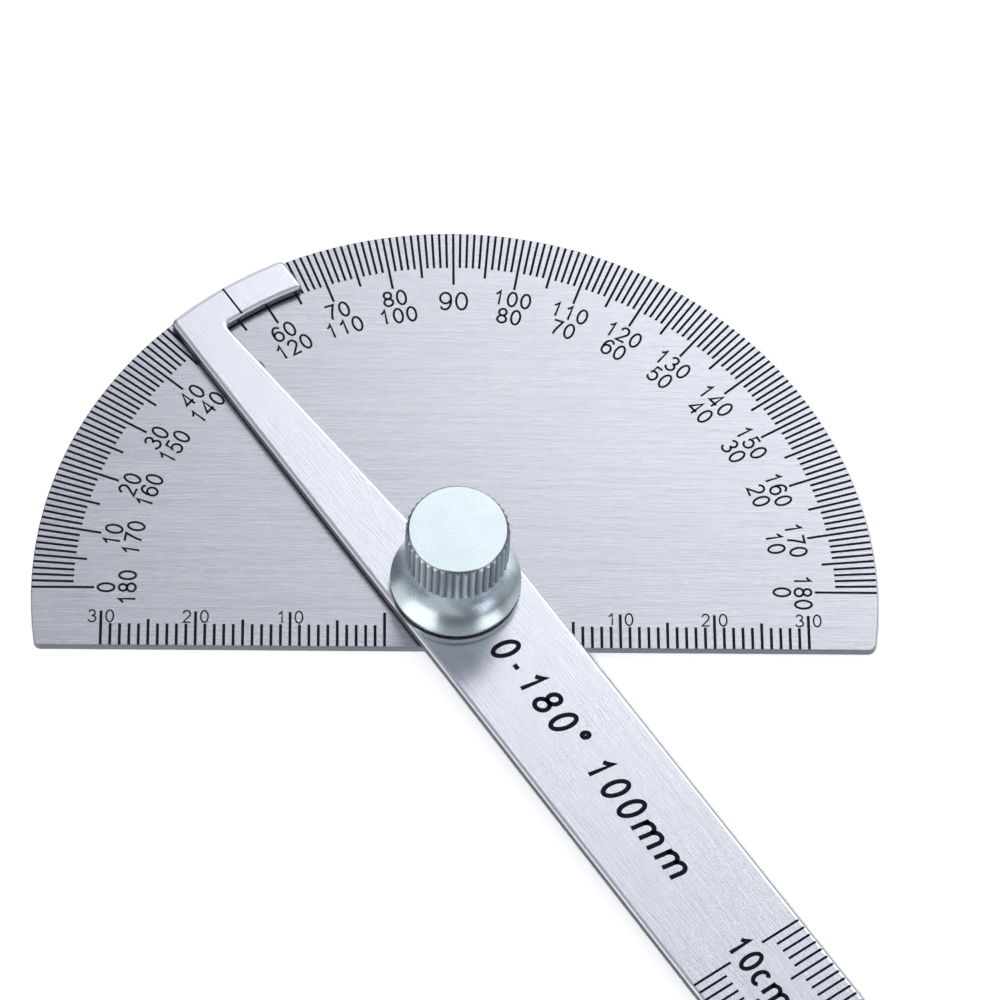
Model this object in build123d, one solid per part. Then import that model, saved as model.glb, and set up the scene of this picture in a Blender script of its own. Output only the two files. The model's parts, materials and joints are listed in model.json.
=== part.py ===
from build123d import *

import os
from math import cos, pi, sin, sqrt

# Swinging-arm protractor: a half-round graduated plate with a ruler arm that turns on a stud
# and is clamped by a knurled thumb nut. Millimetres.
# Frame: origin on the pivot axis in the plate's back face, +Y to the 90 degree mark,
# +Z out of the graduated face.

# Graduated plate
SHEET = 1.0
PLATE_RADIUS = 45.0
BASE_DROP = 7.0
PLATE_CORNER = 0.8
EDGE_BREAK = 0.12

# Pivot axis, from the back of the plate to the front
PIVOT_RADIUS = 2.5
STUD_HEAD_RADIUS = 3.6
STUD_HEAD_THICKNESS = 0.6
PRESS_INTERFERENCE = 0.01
RUNNING_CLEARANCE = 0.04
SHOULDER_SETBACK = 0.02
SPACER_THICKNESS = 0.3
SPACER_RADIUS = 6.0

# Ruler arm, drawn with its pointer up (+Y) and turned to its reading afterwards
READING = 55.5
ARM_WIDTH = 14.0
TIP_REACH = 152.3
HEAD_RADIUS = 44.8
HOOK_RADIUS = 40.6
HOOK_END = 7.5
POINTER_EDGE_AT_PIVOT = 1.2
POINTER_EDGE_AT_HOOK = -2.2
HEAD_CORNER = 0.8
HOOK_CORNER = 0.5
TIP_CORNER = 0.8
HUB_FILLET = 1.5
ARM_ROLLED_EDGE = 0.5

# Washers under the nut
WASHER_RADIUS = 7.0
WASHER_THICKNESS = 0.4
WASHER_HOLE_RADIUS = 2.15
SPRING_RADIUS = 5.5
SPRING_THICKNESS = 0.25
SPRING_HEIGHT = 0.56
SPRING_ROOM = 0.6

# M4 thread shared by the stud and the nut, drawn as rings
THREAD_RADIUS = 1.95
THREAD_DEPTH = 0.33
THREAD_PITCH = 0.7
THREAD_CLEARANCE = 0.05
THREAD_CREST = 0.1
STUD_END_BELOW_NUT_TOP = 3.6
STUD_END_CHAMFER = 0.5

# Knurled thumb nut
NUT_HEIGHT = 10.7
NUT_FLANGE_RADIUS = 6.95
NUT_LIP = 0.45
NUT_LIP_BREAK = 0.1
NUT_NECK_RADIUS = 5.15
NUT_NECK_START = 4.2
KNURL_START = 5.15
KNURL_TIP_RADIUS = 5.5
KNURL_ROOT_RADIUS = 5.2
KNURL_COUNT = 40
KNURL_TOP_CHAMFER = 0.4
KNURL_BOTTOM_CHAMFER = 0.2
NUT_BORE_DEPTH = 8.0
NUT_BORE_CONE = 1.0
NUT_MOUTH_CHAMFER = 0.5

# Levels along the pivot axis
ARM_BOTTOM = SHEET + SPACER_THICKNESS
ARM_TOP = ARM_BOTTOM + SHEET
WASHER_TOP = ARM_TOP + WASHER_THICKNESS
NUT_BOTTOM = WASHER_TOP + SPRING_ROOM
NUT_TOP = NUT_BOTTOM + NUT_HEIGHT
STUD_TOP = NUT_TOP - STUD_END_BELOW_NUT_TOP


def ring(outer, inner, bottom, thickness):
    """A flat washer about the pivot axis."""
    face = Circle(outer) - Circle(inner)
    return Pos(0, 0, bottom) * extrude(face, thickness)


def revolved(points):
    """A solid of revolution about Z from (radius, height) corners."""
    outline = make_face(Polyline(*points, close=True))
    return revolve(Plane.XZ * outline, Axis.Z)


def thread_rings(crest_radius, root_radius, bottom, top):
    """(radius, height) corners of evenly spaced V grooves between two heights."""
    rings = int((top - bottom) / THREAD_PITCH)
    points = []
    for number in range(rings):
        start = bottom + number * THREAD_PITCH
        middle = start + (THREAD_PITCH + THREAD_CREST) / 2
        points += [(crest_radius, start), (crest_radius, start + THREAD_CREST), (root_radius, middle)]
    points.append((crest_radius, bottom + rings * THREAD_PITCH))
    return points


def protractor_plate():
    """Half-round sheet, cut off square below the pivot, with a stepped hole for the stud."""
    cut_off = Rectangle(2 * PLATE_RADIUS, PLATE_RADIUS, align=(Align.CENTER, Align.MAX))
    outline = Circle(PLATE_RADIUS) - Pos(0, -BASE_DROP) * cut_off
    corners = outline.vertices().sort_by(Axis.Y)[:2]
    outline = fillet(corners, PLATE_CORNER)
    plate = extrude(outline, SHEET)
    rim = plate.edges().filter_by(Plane.XY)
    plate = fillet(rim, EDGE_BREAK)
    hole = Cylinder(PIVOT_RADIUS - PRESS_INTERFERENCE, 3 * SHEET)
    seat = ring(STUD_HEAD_RADIUS - PRESS_INTERFERENCE, 0.5 * PIVOT_RADIUS, 0, STUD_HEAD_THICKNESS)
    return plate - hole - seat


def pivot_stud():
    """Flush-head stud pressed in from the back: head, plain journal and threaded end."""
    shoulder = ARM_TOP - SHOULDER_SETBACK
    thread_end = STUD_TOP - STUD_END_CHAMFER
    root = THREAD_RADIUS - THREAD_DEPTH
    points = [(0, 0), (STUD_HEAD_RADIUS, 0), (STUD_HEAD_RADIUS, STUD_HEAD_THICKNESS)]
    points += [(PIVOT_RADIUS, STUD_HEAD_THICKNESS), (PIVOT_RADIUS, shoulder)]
    points += thread_rings(THREAD_RADIUS, root, shoulder, thread_end)
    points += [(THREAD_RADIUS, thread_end), (THREAD_RADIUS - STUD_END_CHAMFER, STUD_TOP), (0, STUD_TOP)]
    return revolved(points)


def spacer_washer():
    """Thin washer that keeps the arm clear of the printed scale."""
    return ring(SPACER_RADIUS, PIVOT_RADIUS + RUNNING_CLEARANCE, SHEET, SPACER_THICKNESS)


def arm_outline():
    """Arm seen from above with its pointer along +Y and its ruler along -Y."""
    half = ARM_WIDTH / 2
    ruler = Rectangle(ARM_WIDTH, TIP_REACH, align=(Align.CENTER, Align.MAX))
    tip_corners = ruler.vertices().sort_by(Axis.Y)[:2]
    ruler = fillet(tip_corners, TIP_CORNER)
    pointer = make_face(
        Polyline(
            (-half, 0),
            (POINTER_EDGE_AT_PIVOT, 0),
            (POINTER_EDGE_AT_HOOK, HOOK_RADIUS),
            (POINTER_EDGE_AT_HOOK, HEAD_RADIUS),
            (-half, HEAD_RADIUS),
            close=True,
        )
    )
    band = Circle(HEAD_RADIUS) - Circle(HOOK_RADIUS)
    reach = HOOK_END + half
    hook = band & Pos(-half, 0) * Rectangle(reach, HEAD_RADIUS, align=(Align.MIN, Align.MIN))
    head = (pointer & Circle(HEAD_RADIUS)) + hook
    return ruler + Circle(half) + head


def near(outline, x, y):
    """The outline's corner closest to a point."""
    return outline.vertices().sort_by_distance((x, y, 0))[0]


def ruler_arm():
    """One stamped sheet: ruler, round hub, tapered pointer and hooked head, with rolled top edges."""
    half = ARM_WIDTH / 2
    outline = arm_outline()
    outline = fillet(near(outline, -half, sqrt(HEAD_RADIUS**2 - half**2)), HEAD_CORNER)
    outline = fillet(near(outline, HOOK_END, HEAD_RADIUS), HEAD_CORNER)
    outline = fillet(near(outline, HOOK_END, HOOK_RADIUS), HOOK_CORNER)
    outline = fillet(near(outline, POINTER_EDGE_AT_HOOK, HOOK_RADIUS), HOOK_CORNER)
    outline = fillet(near(outline, POINTER_EDGE_AT_PIVOT, half), HUB_FILLET)
    blank = extrude(outline, SHEET)
    top_edges = blank.faces().sort_by(Axis.Z)[-1].edges()
    blank = fillet(top_edges, ARM_ROLLED_EDGE)
    hole = Cylinder(PIVOT_RADIUS + RUNNING_CLEARANCE, 4 * SHEET)
    arm = Pos(0, 0, ARM_BOTTOM) * (blank - hole)
    return Rot(0, 0, 90 - READING) * arm


def flat_washer():
    """Wide washer that spreads the nut's clamp force over the arm."""
    return ring(WASHER_RADIUS, WASHER_HOLE_RADIUS, ARM_TOP, WASHER_THICKNESS)


def spring_washer():
    """Curved spring washer: a ring bent about an axis across the pivot, low at two sides."""
    rise = SPRING_HEIGHT - SPRING_THICKNESS
    inner_bend = (SPRING_RADIUS**2 + rise**2) / (2 * rise)
    outer_bend = inner_bend + SPRING_THICKNESS
    sheet = Circle(outer_bend) - Circle(inner_bend)
    bent = extrude(Plane.XZ * sheet, SPRING_RADIUS, both=True)
    crown = WASHER_TOP + (SPRING_ROOM + SPRING_HEIGHT) / 2
    tube = ring(SPRING_RADIUS, WASHER_HOLE_RADIUS, WASHER_TOP, SPRING_ROOM)
    washer = Pos(0, 0, crown - outer_bend) * bent & tube
    return Rot(0, 0, -READING) * washer


def knurled_barrel():
    """Grip of the nut: straight V knurl, chamfered at both ends."""
    teeth = []
    for number in range(2 * KNURL_COUNT):
        angle = number * pi / KNURL_COUNT
        radius = KNURL_ROOT_RADIUS if number % 2 else KNURL_TIP_RADIUS
        teeth.append((radius * cos(angle), radius * sin(angle)))
    prism = extrude(make_face(Polyline(*teeth, close=True)), NUT_HEIGHT - KNURL_START)
    barrel = Pos(0, 0, KNURL_START) * prism
    envelope = revolved(
        [
            (0, KNURL_START),
            (KNURL_TIP_RADIUS - KNURL_BOTTOM_CHAMFER, KNURL_START),
            (KNURL_TIP_RADIUS, KNURL_START + KNURL_BOTTOM_CHAMFER),
            (KNURL_TIP_RADIUS, NUT_HEIGHT - KNURL_TOP_CHAMFER),
            (KNURL_TIP_RADIUS - KNURL_TOP_CHAMFER, NUT_HEIGHT),
            (0, NUT_HEIGHT),
        ]
    )
    return barrel & envelope


def nut_flare():
    """Lower half of the nut: thin lip, hollow flare and round neck."""
    lip = Polyline(
        (NUT_NECK_RADIUS, KNURL_START),
        (0, KNURL_START),
        (0, 0),
        (NUT_FLANGE_RADIUS - NUT_LIP_BREAK, 0),
        (NUT_FLANGE_RADIUS, NUT_LIP_BREAK),
        (NUT_FLANGE_RADIUS, NUT_LIP),
    )
    neck_foot = (NUT_NECK_RADIUS, NUT_NECK_START)
    neck = Line((NUT_NECK_RADIUS, KNURL_START), neck_foot)
    flare = TangentArc(neck_foot, (NUT_FLANGE_RADIUS, NUT_LIP), tangent=(0, -1))
    return revolve(Plane.XZ * make_face(lip + neck + flare), Axis.Z)


def nut_bore():
    """Blind threaded hole, open at the nut's foot."""
    crest = THREAD_RADIUS + THREAD_CLEARANCE
    points = [(0, 0), (crest + NUT_MOUTH_CHAMFER, 0)]
    points += thread_rings(crest, crest + THREAD_DEPTH, NUT_MOUTH_CHAMFER, NUT_BORE_DEPTH)
    points += [(crest, NUT_BORE_DEPTH), (0, NUT_BORE_DEPTH + NUT_BORE_CONE)]
    return revolved(points)


def clamp_nut():
    """Blind thumb nut with a knurled grip over a flared foot."""
    nut = nut_flare() + knurled_barrel() - nut_bore()
    return Pos(0, 0, NUT_BOTTOM) * nut


nodes = {
    "protractor_plate": protractor_plate(),
    "pivot_stud": pivot_stud(),
    "spacer_washer": spacer_washer(),
    "ruler_arm": ruler_arm(),
    "flat_washer": flat_washer(),
    "spring_washer": spring_washer(),
    "clamp_nut": clamp_nut(),
}

os.makedirs("parts", exist_ok=True)
for name, solid in nodes.items():
    export_step(solid, f"parts/{name}.step")
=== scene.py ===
import json
from math import cos, radians, sin

import bpy
from mathutils import Matrix, Vector


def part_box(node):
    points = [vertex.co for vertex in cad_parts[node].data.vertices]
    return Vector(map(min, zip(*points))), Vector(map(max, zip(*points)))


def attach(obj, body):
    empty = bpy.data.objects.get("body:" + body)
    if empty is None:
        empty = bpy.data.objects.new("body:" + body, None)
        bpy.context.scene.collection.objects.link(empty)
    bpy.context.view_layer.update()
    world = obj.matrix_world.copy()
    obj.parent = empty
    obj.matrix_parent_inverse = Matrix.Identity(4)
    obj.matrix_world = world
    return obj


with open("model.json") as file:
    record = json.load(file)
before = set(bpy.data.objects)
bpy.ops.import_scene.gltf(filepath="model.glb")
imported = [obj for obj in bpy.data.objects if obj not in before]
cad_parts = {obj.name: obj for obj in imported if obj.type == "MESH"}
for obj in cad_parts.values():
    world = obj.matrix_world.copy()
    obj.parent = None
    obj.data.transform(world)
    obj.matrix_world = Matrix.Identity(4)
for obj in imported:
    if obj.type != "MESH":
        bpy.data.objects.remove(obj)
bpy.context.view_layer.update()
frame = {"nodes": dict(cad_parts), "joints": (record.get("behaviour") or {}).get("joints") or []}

# Swinging-arm protractor: brushed sheet steel, filled black marks, zinc-plated thumb nut.
# Metres; the marks are laid out in millimetres and scaled once, when their mesh is made.
MM = 0.001

# Levels, sizes and the reading at rest, from the frame, in millimetres and degrees
PLATE_LOW, PLATE_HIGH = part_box("protractor_plate")
ARM_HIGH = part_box("ruler_arm")[1]
PLATE_TOP = PLATE_HIGH.z / MM
ARM_TOP = ARM_HIGH.z / MM
RIM = PLATE_HIGH.y / MM
BASE_EDGE = PLATE_LOW.y / MM
SWING = next(joint for joint in frame["joints"] if joint["name"] == "arm_swing")
READING = SWING["range_deg"][1]

# Filled marks stand this far proud of the steel, and go this deep into it
PROUD = 0.012
DEPTH = 0.04
# A bent stroke's corner is drawn out at most 1 / MITRE_LIMIT times its half width
MITRE_LIMIT = 0.5
SAME_POINT = 1e-6
FIGURE_GAP = 0.13
ORIGIN = Matrix.Identity(4)

# Degree scale: gap to the rim, the lines' inner radii, the rows of figures
RIM_GAP = 0.08
TICK_WIDTH = 0.27
DEGREE_TICK = 40.5
FIVE_TICK = 39.3
TEN_TICK = 38.3
OUTER_ROW = 36.03
INNER_ROW = 33.78
DIAL_DIGITS = 2.03
DIAL_STROKE = 0.25
RIGHT_ANGLE_ROW = 35.0
RIGHT_ANGLE_DIGITS = 2.4

# Millimetre scale along the base edge, counted outwards from both sides of the pivot
BASE_ZERO = 7.5
BASE_SPAN = 30
BASE_TICK = 2.65
BASE_TICK_WIDTH = 0.31
BASE_FIVE_TICK = 3.2
BASE_TEN_TICK = 4.15
BASE_DIGITS = 1.58
BASE_DIGIT_GAP = 0.46
BASE_DIGIT_FOOT = 2.75
BASE_STROKE = 0.17

# Ruler arm: half width, rolled edge, tip, millimetre scale with its unit, index line, legend
ARM_HALF = 7.0
ARM_ROLL = 0.35
TIP = -152.3
RULER_SPAN = 100
RULER_TICK = 3.8
RULER_LONG_TICK = 5.0
RULER_TICK_WIDTH = 0.27
RULER_DIGITS = 2.9
RULER_STROKE = 0.47
UNIT = "10cm"
UNIT_START = 1.9
UNIT_BASE = -1.6
INDEX_FOOT = 40.75
INDEX_HEAD = 44.55
INDEX_WIDTH = 0.22
LEGEND = "0-180° 100mm"
LEGEND_START = -8.15
LEGEND_END = -41.2
LEGEND_HEIGHT = 3.35
LEGEND_STROKE = 0.52
LEGEND_SLANT = 0.16
LEGEND_BASE = -1.75

# Knurl of the nut: radii, lower end, the height over which the grooves' painted shade starts, and
# that painted shade's level and colour
NUT_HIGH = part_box("clamp_nut")[1]
KNURL_TIP = 5.5
KNURL_ROOT = 5.2
KNURL_FOOT = 8.4
NUT_EDGE = 0.04
GROOVE_SHADE = 0.25
GROOVE_SHADE_COLOUR = (0.06, 0.065, 0.075)

# Noise: cycles per metre along, across and through the sheet, then detail and roughness
SCRATCHES = ((260, 11000, 11000), 3.0, 0.75)
STREAKS = ((45, 2200, 2200), 2.0, 0.5)
CLOUDS = ((30, 60, 60), 2.0, 0.5)
SATIN_GRAIN = ((6000, 6000, 6000), 3.0, 0.6)
SATIN_CLOUDS = ((220, 220, 220), 3.0, 0.5)
INK_WEAR = ((1800, 1800, 1800), 3.0, 0.6)
# Between these lies most of a noise
NOISE_LOW = 0.3
NOISE_HIGH = 0.7
# Shares of scratches and streaks in the brushing, and the darkest clouding
SCRATCH_SHARE = 0.7
STREAK_SHARE = 0.3
CLOUD_SHADE = 0.8
# Depths of the bumps, in metres
SCRATCH_DEPTH = 0.00005
SATIN_DEPTH = 0.00001
SATIN_BUMP = 0.12
INK_BUMP = 0.1
# Upward part of the normal: below the first an upright wall takes the full painted shade, above
# the second the face keeps its brushed colour
SHADED_WALL = 0.25
FACE = 0.8
# node, material, brushing angle, darkest and lightest colour, roughness, bump, colour of the
# painted shade on the upright cut walls
BRUSHED = (
    (
        "protractor_plate", "plate_brushed", 0.0,
        (0.525, 0.53, 0.575), (0.755, 0.76, 0.815), (0.2, 0.3), 0.22, (0.4, 0.41, 0.44),
    ),
    (
        "ruler_arm", "arm_brushed", READING,
        (0.755, 0.77, 0.83), (0.86, 0.88, 0.94), (0.2, 0.28), 0.27, (0.22, 0.225, 0.25),
    ),
)
# node, material, darkest and lightest colour, roughness
PLATED = (
    ("flat_washer", "washer_plate", (0.6, 0.61, 0.63), (0.75, 0.76, 0.78), (0.2, 0.3)),
    ("spring_washer", "spring_black", (0.08, 0.08, 0.09), (0.16, 0.16, 0.17), (0.3, 0.45)),
    ("spacer_washer", "spacer_steel", (0.5, 0.5, 0.52), (0.62, 0.62, 0.64), (0.3, 0.4)),
    ("pivot_stud", "stud_steel", (0.55, 0.56, 0.57), (0.68, 0.69, 0.7), (0.25, 0.35)),
)
ZINC_DARK = (0.79, 0.89, 0.93)
ZINC_LIGHT = (0.87, 0.97, 1.0)
ZINC_ROUGH = (0.24, 0.32)
INK_DARK = (0.003, 0.003, 0.008)
INK_LIGHT = (0.008, 0.008, 0.016)
INK_ROUGH = (0.4, 0.6)
INK_GLOSS = 0.08

# Camera and studio
CAMERA_PLACE = Vector((-14.55, -303.6, 542.5)) * MM
CAMERA_AZIMUTH = 3.53
CAMERA_ELEVATION = 59.79
CAMERA_ROLL = 3.51
CAMERA_LENS = 210.3
CAMERA_SENSOR = 36.0
CAMERA_CLIP = (0.05, 20.0)
# Room brightness by height of view: below the table, past its edge, at the horizon, overhead
ROOM = (
    (-1.0, (0.47, 0.48, 0.52)),
    (-0.3, (0.47, 0.48, 0.52)),
    (-0.05, (0.11, 0.115, 0.13)),
    (0.15, (0.11, 0.115, 0.13)),
    (0.85, (0.4, 0.42, 0.46)),
)
OVERHEAD_PLACE = (0.53, 1.27, 1.3)
OVERHEAD_SIZE = 1.15
OVERHEAD_POWER = 5.6
# name, azimuth and elevation (degrees), distance and side length (m), power (W)
SOFTBOXES = (
    ("left_front", -143, 12, 1.1, 1.0, 3.4),
    ("right_front", -38, 20, 1.1, 0.6, 1.2),
    ("back_right", 55, 28, 1.3, 1.1, 3.5),
    ("back", 105, 10, 1.5, 1.0, 2.6),
    ("left", 178, 10, 1.2, 0.7, 0.9),
    ("right", 8, 20, 1.2, 0.8, 0.7),
)
# Fill for the floor and the marks alone; the metal does not mirror it
FILL_PLACE = (-0.3, -0.5, 1.4)
FILL_SIZE = 0.4
FILL_POWER = 18.0
FLOOR_HALF = 4.0
FLOOR_COLOUR = (0.93, 0.93, 0.93, 1)
FLOOR_ROUGH = 0.9


# --- stroke lettering -------------------------------------------------------------------

def arc(x, y, width, height, start, stop, steps=14):
    """Points along part of an ellipse, in degrees."""
    points = []
    for step in range(steps + 1):
        angle = radians(start + (stop - start) * step / steps)
        points.append((x + width * cos(angle), y + height * sin(angle)))
    return points


def oval(x, y, width, height):
    """Points round a whole ellipse, the last one on the first."""
    return arc(x, y, width, height, 0, 360, 24)


def turned(strokes):
    """The same strokes turned half a turn about the middle of the figure's box."""
    return [[(1 - x, 1 - y) for x, y in stroke] for stroke in strokes]


SIX = [arc(0.56, 0.5, 0.56, 0.5, 190, 42, 12), oval(0.5, 0.32, 0.5, 0.32)]

# Each figure: its full width as a share of its height, and its strokes in a unit box
FIGURES = {
    "0": (0.6, [oval(0.5, 0.5, 0.5, 0.5)]),
    "1": (0.6, [[(0.14, 0.74), (0.38, 0.83), (0.6, 1.0), (0.6, 0.0)]]),
    "2": (0.6, [arc(0.5, 0.71, 0.46, 0.29, 172, -38, 12) + [(0.02, 0.0), (1.0, 0.0)]]),
    "3": (
        0.6,
        [
            arc(0.47, 0.76, 0.42, 0.24, 165, -90, 12),
            arc(0.47, 0.26, 0.52, 0.26, 90, -165, 12),
        ],
    ),
    "4": (0.64, [[(0.74, 0.0), (0.74, 1.0), (0.0, 0.28), (1.0, 0.28)]]),
    "5": (
        0.6,
        [[(0.92, 1.0), (0.24, 1.0), (0.11, 0.5)] + arc(0.48, 0.32, 0.52, 0.32, 138, -160, 14)],
    ),
    "6": (0.6, SIX),
    "7": (0.6, [[(0.0, 1.0), (1.0, 1.0), (0.7, 0.62), (0.48, 0.3), (0.38, 0.0)]]),
    "8": (0.6, [oval(0.5, 0.76, 0.42, 0.24), oval(0.5, 0.26, 0.5, 0.26)]),
    "9": (0.6, turned(SIX)),
    "c": (0.56, [arc(0.52, 0.36, 0.52, 0.36, 48, 312, 16)]),
    "m": (
        0.98,
        [
            [(0.0, 0.0), (0.0, 0.74)],
            arc(0.25, 0.48, 0.25, 0.25, 180, 0, 10) + [(0.5, 0.0)],
            arc(0.75, 0.48, 0.25, 0.25, 180, 0, 10) + [(1.0, 0.0)],
        ],
    ),
    "-": (0.36, [[(0.0, 0.38), (1.0, 0.38)]]),
    "°": (0.34, [oval(0.5, 0.86, 0.5, 0.13)]),
    " ": (0.3, []),
}


class Marks:
    """Collects flat black strokes for one mesh, all at one level."""

    def __init__(self, level):
        self.top = level + PROUD
        self.foot = level - DEPTH
        self.points = []
        self.faces = []

    def stroke(self, line, width, place=ORIGIN):
        """A closed, flat bar of even width along a line of points."""
        closed = (Vector(line[0]) - Vector(line[-1])).length < SAME_POINT
        path = [Vector((x, y, 0)) for x, y in (line[:-1] if closed else line)]
        count = len(path)
        start = len(self.points)
        for index, point in enumerate(path):
            before = path[index - 1] if closed or index else point
            after = path[(index + 1) % count] if closed or index < count - 1 else point
            side = self.side(before, point, after) * width / 2
            for corner in (place @ (point + side), place @ (point - side)):
                self.points.append((corner.x, corner.y, self.top))
                self.points.append((corner.x, corner.y, self.foot))
        last = count if closed else count - 1
        for index in range(last):
            self.bar(start + 4 * index, start + 4 * ((index + 1) % count))
        if not closed:
            end = start + 4 * (count - 1)
            self.faces.append((start, start + 1, start + 3, start + 2))
            self.faces.append((end, end + 2, end + 3, end + 1))

    @staticmethod
    def side(before, point, after):
        """Direction across the line at a point, lengthened so that a bend keeps its width."""
        run_in = (point - before if point != before else after - point).normalized()
        run_out = (after - point).normalized() if after != point else run_in
        along = (run_in + run_out).normalized()
        across = Vector((-along.y, along.x, 0))
        normal = Vector((-run_in.y, run_in.x, 0))
        return across / max(across.dot(normal), MITRE_LIMIT)

    def bar(self, near, far):
        """Four long faces between two cross-sections."""
        self.faces.append((near, near + 2, far + 2, far))
        self.faces.append((near + 1, far + 1, far + 3, near + 3))
        self.faces.append((near, far, far + 1, near + 1))
        self.faces.append((near + 2, near + 3, far + 3, far + 2))

    def figure(self, letter, height, stroke, place, slant=0.0):
        """One figure with its lower left corner at the place's origin. Returns its width."""
        share, strokes = FIGURES[letter]
        half = stroke / 2
        wide = share * height - stroke
        tall = height - stroke
        for line in strokes:
            drawn = []
            for x, y in line:
                rise = half + y * tall
                drawn.append((half + x * wide + slant * rise, rise))
            self.stroke(drawn, stroke, place)
        return share * height

    def word(self, text, height, stroke, place, spacing=FIGURE_GAP, centred=True, slant=0.0):
        """A row of figures from the place's origin, or centred on it."""
        gap = spacing * height
        total = sum(FIGURES[letter][0] * height for letter in text) + gap * (len(text) - 1)
        across = -total / 2 if centred else 0.0
        for letter in text:
            spot = place @ Matrix.Translation((across, 0, 0))
            across += self.figure(letter, height, stroke, spot, slant) + gap

    def piece(self, name, body, material):
        """Turns the strokes into an object that rides on a body."""
        corners = [[value * MM for value in point] for point in self.points]
        mesh = bpy.data.meshes.new(name)
        mesh.from_pydata(corners, [], self.faces)
        mesh.validate()
        mesh.materials.append(material)
        piece = bpy.data.objects.new(name, mesh)
        bpy.context.scene.collection.objects.link(piece)
        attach(piece, body)


# --- materials --------------------------------------------------------------------------

class Shader:
    """A node material with a Principled shader, and short helpers to wire it."""

    def __init__(self, name, **settings):
        self.material = bpy.data.materials.new(name)
        self.material.use_nodes = True
        self.tree = self.material.node_tree
        self.principled = self.tree.nodes["Principled BSDF"]
        for label, value in settings.items():
            self.principled.inputs[label.replace("_", " ")].default_value = value

    def node(self, kind, **settings):
        node = self.tree.nodes.new(kind)
        for label, value in settings.items():
            setattr(node, label, value)
        return node

    def link(self, output, target):
        self.tree.links.new(output, target)

    def feed(self, label, output):
        """Wires a value or colour into the Principled shader."""
        self.link(output, self.principled.inputs[label])

    def place(self, scale, turn=0.0):
        """Object coordinates, turned about Z and stretched, for grain and noise."""
        coordinates = self.node("ShaderNodeTexCoord")
        turned_by = self.node("ShaderNodeMapping")
        turned_by.inputs["Rotation"].default_value = (0, 0, radians(turn))
        stretched = self.node("ShaderNodeMapping")
        stretched.inputs["Scale"].default_value = scale
        self.link(coordinates.outputs["Object"], turned_by.inputs["Vector"])
        self.link(turned_by.outputs["Vector"], stretched.inputs["Vector"])
        return stretched.outputs["Vector"]

    def noise(self, pattern, turn=0.0):
        """Fractal noise in the object's own space."""
        scale, detail, roughness = pattern
        noise = self.node("ShaderNodeTexNoise")
        noise.inputs["Scale"].default_value = 1.0
        noise.inputs["Detail"].default_value = detail
        noise.inputs["Roughness"].default_value = roughness
        self.link(self.place(scale, turn), noise.inputs["Vector"])
        return noise.outputs["Fac"]

    def span(self, value, low, high, from_low=NOISE_LOW, from_high=NOISE_HIGH):
        """A value spread over a new range. It starts from noise unless told otherwise."""
        remap = self.node("ShaderNodeMapRange")
        remap.inputs["From Min"].default_value = from_low
        remap.inputs["From Max"].default_value = from_high
        remap.inputs["To Min"].default_value = low
        remap.inputs["To Max"].default_value = high
        self.link(value, remap.inputs["Value"])
        return remap.outputs["Result"]

    def blend(self, amount, dark, light):
        """A colour between two, by an amount."""
        mix = self.node("ShaderNodeMix", data_type="RGBA")
        mix.inputs["A"].default_value = (*dark, 1)
        mix.inputs["B"].default_value = (*light, 1)
        self.link(amount, mix.inputs["Factor"])
        return mix.outputs["Result"]

    def shaded(self, amount, shade, colour):
        """A colour that gives way to a fixed painted shade where the amount is low."""
        mix = self.node("ShaderNodeMix", data_type="RGBA")
        mix.inputs["A"].default_value = (*shade, 1)
        self.link(colour, mix.inputs["B"])
        self.link(amount, mix.inputs["Factor"])
        return mix.outputs["Result"]

    def larger(self, first, second):
        """The larger of two values."""
        larger = self.node("ShaderNodeMath", operation="MAXIMUM")
        self.link(first, larger.inputs[0])
        self.link(second, larger.inputs[1])
        return larger.outputs["Value"]

    def satin(self, rough):
        """Fine satin grain in roughness and bump. Returns a faint clouding from 0 to 1."""
        grain = self.noise(SATIN_GRAIN)
        self.feed("Roughness", self.span(grain, *rough))
        self.bump(grain, SATIN_BUMP, SATIN_DEPTH)
        return self.span(self.noise(SATIN_CLOUDS), 0.0, 1.0)

    def bump(self, height, strength, distance):
        bump = self.node("ShaderNodeBump")
        bump.inputs["Strength"].default_value = strength
        bump.inputs["Distance"].default_value = distance
        self.link(height, bump.inputs["Height"])
        self.feed("Normal", bump.outputs["Normal"])


def brushed_steel(name, turn, dark, light, rough, depth, edge):
    """Steel brushed along one direction: long fine scratches, slow clouding, and painted shade on
    the upright cut walls.
    """
    shader = Shader(name, Metallic=1.0)
    scratches = shader.noise(SCRATCHES, turn)
    streaks = shader.noise(STREAKS, turn)
    clouds = shader.noise(CLOUDS, turn)
    both = shader.node("ShaderNodeMath", operation="ADD")
    shader.link(shader.span(scratches, 0.0, SCRATCH_SHARE), both.inputs[0])
    shader.link(shader.span(streaks, 0.0, STREAK_SHARE), both.inputs[1])
    tone = shader.node("ShaderNodeMath", operation="MULTIPLY")
    shader.link(both.outputs["Value"], tone.inputs[0])
    shader.link(shader.span(clouds, CLOUD_SHADE, 1.0), tone.inputs[1])
    # Painted shade: faces that stand upright fade to the fixed dark edge colour, standing in for
    # the shadow and dark reflection along the sheet's sides
    normal = shader.node("ShaderNodeSeparateXYZ")
    shader.link(shader.node("ShaderNodeTexCoord").outputs["Normal"], normal.inputs["Vector"])
    flat = shader.span(normal.outputs["Z"], 0.0, 1.0, SHADED_WALL, FACE)
    face = shader.blend(tone.outputs["Value"], dark, light)
    shader.feed("Base Color", shader.shaded(flat, edge, face))
    shader.feed("Roughness", shader.span(both.outputs["Value"], *rough, 0.0, 1.0))
    shader.bump(scratches, depth, SCRATCH_DEPTH)
    return shader.material


def plated_metal(name, dark, light, rough):
    """Plated or turned metal: fine satin grain and faint clouding."""
    shader = Shader(name, Metallic=1.0)
    shader.feed("Base Color", shader.blend(shader.satin(rough), dark, light))
    return shader.material


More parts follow.
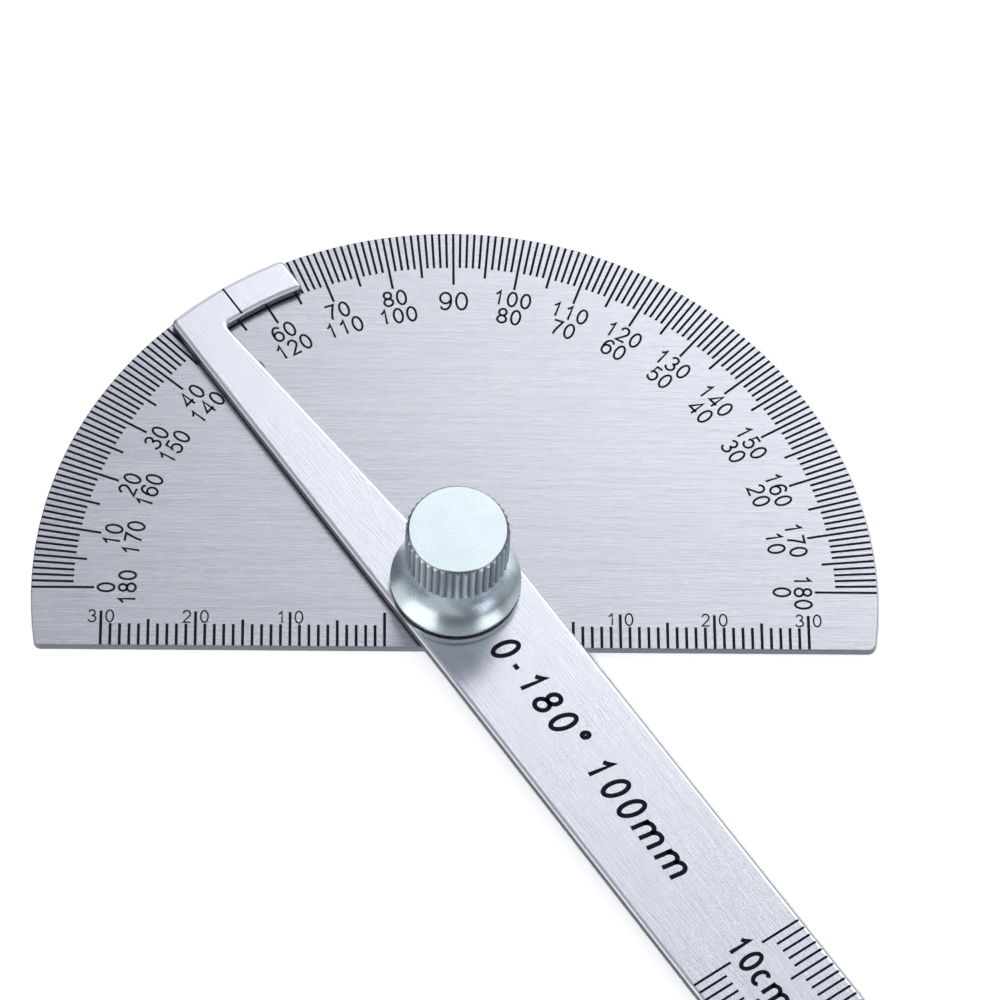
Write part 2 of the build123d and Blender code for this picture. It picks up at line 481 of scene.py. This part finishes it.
def knurled_zinc():
    """Satin bluish zinc, with painted shade darkening the grooves of the knurl."""
    shader = Shader("nut_zinc", Metallic=1.0)
    plating = shader.blend(shader.satin(ZINC_ROUGH), ZINC_DARK, ZINC_LIGHT)
    coordinates = shader.node("ShaderNodeTexCoord")
    flat = shader.node("ShaderNodeVectorMath", operation="MULTIPLY")
    flat.inputs[1].default_value = (1, 1, 0)
    shader.link(coordinates.outputs["Object"], flat.inputs[0])
    radius = shader.node("ShaderNodeVectorMath", operation="LENGTH")
    shader.link(flat.outputs["Vector"], radius.inputs[0])
    split = shader.node("ShaderNodeSeparateXYZ")
    shader.link(coordinates.outputs["Object"], split.inputs["Vector"])
    height = split.outputs["Z"]
    # Painted shade in the knurl: darker towards the root of the grooves, standing in for the
    # shadow between the teeth; the top rim and the nut below the knurl keep the plating
    top = NUT_HIGH.z - NUT_EDGE * MM
    foot = KNURL_FOOT * MM
    root, tip = KNURL_ROOT * MM, KNURL_TIP * MM
    groove = shader.span(radius.outputs["Value"], GROOVE_SHADE, 1.0, root, tip)
    above = shader.span(height, 0.0, 1.0, top - NUT_EDGE * MM, top)
    below = shader.span(height, 1.0, 0.0, foot, foot + NUT_EDGE * MM)
    lit = shader.larger(shader.larger(above, below), groove)
    shader.feed("Base Color", shader.shaded(lit, GROOVE_SHADE_COLOUR, plating))
    return shader.material


def black_fill():
    """Black paint in the marks, slightly worn."""
    shader = Shader("black_fill", Metallic=0.0, Specular_IOR_Level=INK_GLOSS)
    wear = shader.noise(INK_WEAR)
    shader.feed("Base Color", shader.blend(shader.span(wear, 0.0, 1.0), INK_DARK, INK_LIGHT))
    shader.feed("Roughness", shader.span(wear, *INK_ROUGH))
    shader.bump(wear, INK_BUMP, SATIN_DEPTH)
    return shader.material


def dress(node, material):
    """Gives a CAD node its finish."""
    for slot in frame["nodes"][node].material_slots:
        slot.material = material


# --- marks ------------------------------------------------------------------------------

def by_count(count, one, five, ten):
    """The measure of a scale's line: any line, every fifth or every tenth."""
    if count % 10 == 0:
        return ten
    return five if count % 5 == 0 else one


def dial_place(degrees, radius):
    """Place on the degree ring: origin at the radius, +Y outwards. 0 is on the left (-X)."""
    return Matrix.Rotation(radians(90 - degrees), 4, "Z") @ Matrix.Translation((0, radius, 0))


def dial_ticks(ink):
    """The degree ring's lines, longer at every fifth and tenth degree."""
    marks = Marks(PLATE_TOP)
    for degree in range(181):
        foot = by_count(degree, DEGREE_TICK, FIVE_TICK, TEN_TICK)
        marks.stroke([(0, foot), (0, RIM - RIM_GAP)], TICK_WIDTH, dial_place(degree, 0))
    marks.piece("dial_ticks", "plate", ink)


def dial_numbers(ink):
    """Two opposite rows of degrees, and one larger 90 between them."""
    marks = Marks(PLATE_TOP)
    for degree in range(0, 181, 10):
        if degree == 90:
            place = dial_place(degree, RIGHT_ANGLE_ROW)
            marks.word("90", RIGHT_ANGLE_DIGITS, DIAL_STROKE, place)
            continue
        marks.word(str(degree), DIAL_DIGITS, DIAL_STROKE, dial_place(degree, OUTER_ROW))
        marks.word(str(180 - degree), DIAL_DIGITS, DIAL_STROKE, dial_place(degree, INNER_ROW))
    marks.piece("dial_numbers", "plate", ink)


def base_scale(ink):
    """Two millimetre scales from the middle outwards, with figures astride every tenth line."""
    ticks = Marks(PLATE_TOP)
    numbers = Marks(PLATE_TOP)
    edge = BASE_EDGE + RIM_GAP
    foot = BASE_EDGE + BASE_DIGIT_FOOT
    wide = FIGURES["0"][0] * BASE_DIGITS
    for count in range(BASE_SPAN + 1):
        length = by_count(count, BASE_TICK, BASE_FIVE_TICK, BASE_TEN_TICK)
        for side in (-1, 1):
            x = side * (BASE_ZERO + count)
            ticks.stroke([(x, edge), (x, BASE_EDGE + length)], BASE_TICK_WIDTH)
            if count and count % 10 == 0:
                tens = Matrix.Translation((x - BASE_DIGIT_GAP - wide, foot, 0))
                units = Matrix.Translation((x + BASE_DIGIT_GAP, foot, 0))
                numbers.figure(str(count // 10), BASE_DIGITS, BASE_STROKE, tens)
                numbers.figure("0", BASE_DIGITS, BASE_STROKE, units)
    ticks.piece("base_ticks", "plate", ink)
    numbers.piece("base_numbers", "plate", ink)


def arm_place(across, along, turn=0.0):
    """Place on the arm: +Y along the pointer, turned by an extra angle."""
    swing = Matrix.Rotation(radians(90 - READING), 4, "Z")
    return swing @ Matrix.Translation((across, along, 0)) @ Matrix.Rotation(radians(turn), 4, "Z")


def index_line(ink):
    """The reading line across the hook."""
    marks = Marks(ARM_TOP)
    marks.stroke([(0, INDEX_FOOT), (0, INDEX_HEAD)], INDEX_WIDTH, arm_place(0, 0))
    marks.piece("index_line", "arm", ink)


def ruler_scale(ink):
    """Millimetre lines on both edges of the arm, counted from its free end."""
    ticks = Marks(ARM_TOP)
    for count in range(1, RULER_SPAN + 1):
        length = by_count(count, RULER_TICK, RULER_LONG_TICK, RULER_LONG_TICK)
        for side in (-1, 1):
            outer = (side * (ARM_HALF - ARM_ROLL), TIP + count)
            inner = (side * (ARM_HALF - length), TIP + count)
            ticks.stroke([outer, inner], RULER_TICK_WIDTH, arm_place(0, 0))
    ticks.piece("ruler_ticks", "arm", ink)
    numbers = Marks(ARM_TOP)
    for centimetre in range(1, RULER_SPAN // 10):
        place = arm_place(-RULER_DIGITS / 2, TIP + 10 * centimetre, -90)
        numbers.word(str(centimetre), RULER_DIGITS, RULER_STROKE, place)
    place = arm_place(UNIT_BASE, TIP + RULER_SPAN + UNIT_START, -90)
    numbers.word(UNIT, RULER_DIGITS, RULER_STROKE, place, centred=False)
    numbers.piece("ruler_numbers", "arm", ink)


def arm_legend(ink):
    """Range and scale length, printed large between the hub and the ruler's scale."""
    marks = Marks(ARM_TOP)
    widths = sum(FIGURES[letter][0] for letter in LEGEND) * LEGEND_HEIGHT
    spare = (LEGEND_START - LEGEND_END - widths) / (len(LEGEND) - 1)
    place = arm_place(LEGEND_BASE, LEGEND_START, -90)
    spacing = spare / LEGEND_HEIGHT
    marks.word(LEGEND, LEGEND_HEIGHT, LEGEND_STROKE, place, spacing, False, LEGEND_SLANT)
    marks.piece("arm_legend", "arm", ink)


# --- studio -----------------------------------------------------------------------------

def softbox(name, place, aim, size, power):
    """A square area light at a place, aimed at another."""
    light = bpy.data.lights.new(name, "AREA")
    light.shape = "SQUARE"
    light.size = size
    light.energy = power
    lamp = bpy.data.objects.new(name, light)
    lamp.location = place
    lamp.rotation_euler = (Vector(aim) - Vector(place)).to_track_quat("-Z", "Y").to_euler()
    bpy.context.scene.collection.objects.link(lamp)
    return lamp


def around(azimuth, elevation, distance):
    """A place about the pivot, from compass-like angles in degrees (0 is +X, 90 is +Y)."""
    flat = distance * cos(radians(elevation))
    height = distance * sin(radians(elevation))
    return Vector((flat * cos(radians(azimuth)), flat * sin(radians(azimuth)), height))


def floor():
    """Plain pale paper under the object. The metal does not mirror it."""
    half = FLOOR_HALF
    mesh = bpy.data.meshes.new("floor")
    corners = [(-half, -half, 0), (half, -half, 0), (half, half, 0), (-half, half, 0)]
    mesh.from_pydata(corners, [], [(0, 1, 2, 3)])
    shader = Shader("floor_paper", Base_Color=FLOOR_COLOUR, Roughness=FLOOR_ROUGH)
    mesh.materials.append(shader.material)
    plane = bpy.data.objects.new("floor", mesh)
    bpy.context.scene.collection.objects.link(plane)
    plane.visible_glossy = False


def studio():
    """Pale room, darkest at the horizon, and the soft boxes that the metal mirrors."""
    world = bpy.data.worlds.new("studio")
    world.use_nodes = True
    tree = world.node_tree
    background = tree.nodes["Background"]
    background.inputs["Strength"].default_value = 1.0
    direction = tree.nodes.new("ShaderNodeTexCoord")
    split = tree.nodes.new("ShaderNodeSeparateXYZ")
    tree.links.new(direction.outputs["Generated"], split.inputs["Vector"])
    height = tree.nodes.new("ShaderNodeMapRange")
    height.inputs["From Min"].default_value = -1.0
    tree.links.new(split.outputs["Z"], height.inputs["Value"])
    ramp = tree.nodes.new("ShaderNodeValToRGB")
    # A new ramp has two stops already
    for _ in ROOM[2:]:
        ramp.color_ramp.elements.new(1.0)
    for stop, (level, colour) in zip(ramp.color_ramp.elements, ROOM):
        stop.position = (level + 1) / 2
        stop.color = (*colour, 1)
    tree.links.new(height.outputs["Result"], ramp.inputs["Fac"])
    tree.links.new(ramp.outputs["Color"], background.inputs["Color"])
    bpy.context.scene.world = world
    straight_down = (OVERHEAD_PLACE[0], OVERHEAD_PLACE[1], 0)
    softbox("overhead", OVERHEAD_PLACE, straight_down, OVERHEAD_SIZE, OVERHEAD_POWER)
    fill = softbox("fill", FILL_PLACE, (0, 0, 0), FILL_SIZE, FILL_POWER)
    fill.visible_glossy = False
    for name, azimuth, elevation, distance, size, power in SOFTBOXES:
        softbox(name, around(azimuth, elevation, distance), (0, 0, 0), size, power)
    bpy.context.scene.view_settings.view_transform = "Standard"


def camera():
    """The camera at the photograph's angle."""
    lens = bpy.data.cameras.new("camera")
    lens.lens = CAMERA_LENS
    lens.sensor_width = CAMERA_SENSOR
    lens.clip_start, lens.clip_end = CAMERA_CLIP
    eye = bpy.data.objects.new("camera", lens)
    turn = Matrix.Rotation(radians(-CAMERA_AZIMUTH), 4, "Z")
    tilt = Matrix.Rotation(radians(90 - CAMERA_ELEVATION), 4, "X")
    roll = Matrix.Rotation(radians(CAMERA_ROLL), 4, "Z")
    eye.matrix_world = Matrix.Translation(CAMERA_PLACE) @ turn @ tilt @ roll
    bpy.context.scene.collection.objects.link(eye)
    bpy.context.scene.camera = eye


def finishes():
    """Every CAD node's material."""
    for node, *finish in BRUSHED:
        dress(node, brushed_steel(*finish))
    for node, *finish in PLATED:
        dress(node, plated_metal(*finish))
    dress("clamp_nut", knurled_zinc())


def markings():
    """All filled marks."""
    ink = black_fill()
    dial_ticks(ink)
    dial_numbers(ink)
    base_scale(ink)
    index_line(ink)
    ruler_scale(ink)
    arm_legend(ink)


finishes()
markings()
floor()
studio()
camera()
